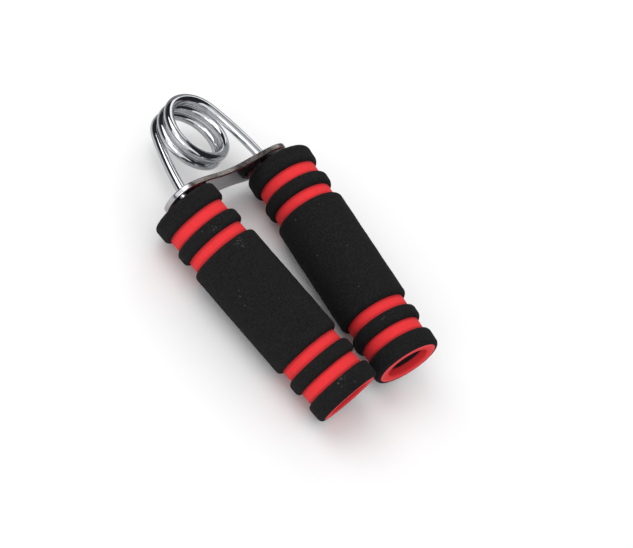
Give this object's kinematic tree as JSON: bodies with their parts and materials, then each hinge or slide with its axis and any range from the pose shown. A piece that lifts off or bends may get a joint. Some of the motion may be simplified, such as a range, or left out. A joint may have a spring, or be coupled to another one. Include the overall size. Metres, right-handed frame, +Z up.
{
  "type": "hand grip strengthener",
  "caption": "Hand grip strengthener: a coiled steel spring whose legs pass through a bridge plate into foam-covered grips that are squeezed together.",
  "frame": {"origin": "middle of the footprint, on the surface it lies on", "axes": "+X from the left grip to the right grip, along the bridge plate; +Y from the open ends of the grips towards the spring coil; +Z up from the surface it lies on, about fifteen degrees off the coil's axis"},
  "size_m": [0.0836, 0.1458, 0.0328],
  "materials": {
    "spring_wire": "bright chrome-plated spring steel",
    "plate": "bright plated stamped steel",
    "black_foam": "matt fine-grained foam",
    "red_foam": "matt foam",
    "tube": "dark moulded plastic",
    "fitting": "dark grey moulded plastic"
  },
  "bodies": {
    "frame_spring": {"bridge_plate": "plate", "torsion_spring": "spring_wire"},
    "left_handle": {"left_leg_wire": "spring_wire", "left_core_tube": "tube", "left_top_collar": "fitting", "left_end_plug": "fitting", "left_foam_core": "red_foam", "left_top_band": "black_foam", "left_upper_ring": "black_foam", "left_main_sleeve": "black_foam", "left_lower_ring": "black_foam", "left_end_band": "black_foam"},
    "right_handle": {"right_leg_wire": "spring_wire", "right_core_tube": "tube", "right_top_collar": "fitting", "right_end_plug": "fitting", "right_foam_core": "red_foam", "right_top_band": "black_foam", "right_upper_ring": "black_foam", "right_main_sleeve": "black_foam", "right_lower_ring": "black_foam", "right_end_band": "black_foam"}
  },
  "joints": [
    {"name": "right_squeeze", "type": "hinge", "parent": "frame_spring", "child": "right_handle", "pos_m": [0.02255, 0.03292, 0.01641], "axis": [0.255, 0, 0.9669], "range_deg": [-0.4, 15], "stiffness_Nm_per_rad": 12, "springref_deg": 15},
    {"name": "left_squeeze", "type": "hinge", "parent": "frame_spring", "child": "left_handle", "pos_m": [-0.02255, 0.03292, 0.01641], "axis": [0.255, 0, 0.9669], "range_deg": [-15, 0.4], "stiffness_Nm_per_rad": 12, "springref_deg": -15}
  ],
  "couplings": [
    {"joint": "left_squeeze", "follows": "right_squeeze", "ratio": -1}
  ]
}
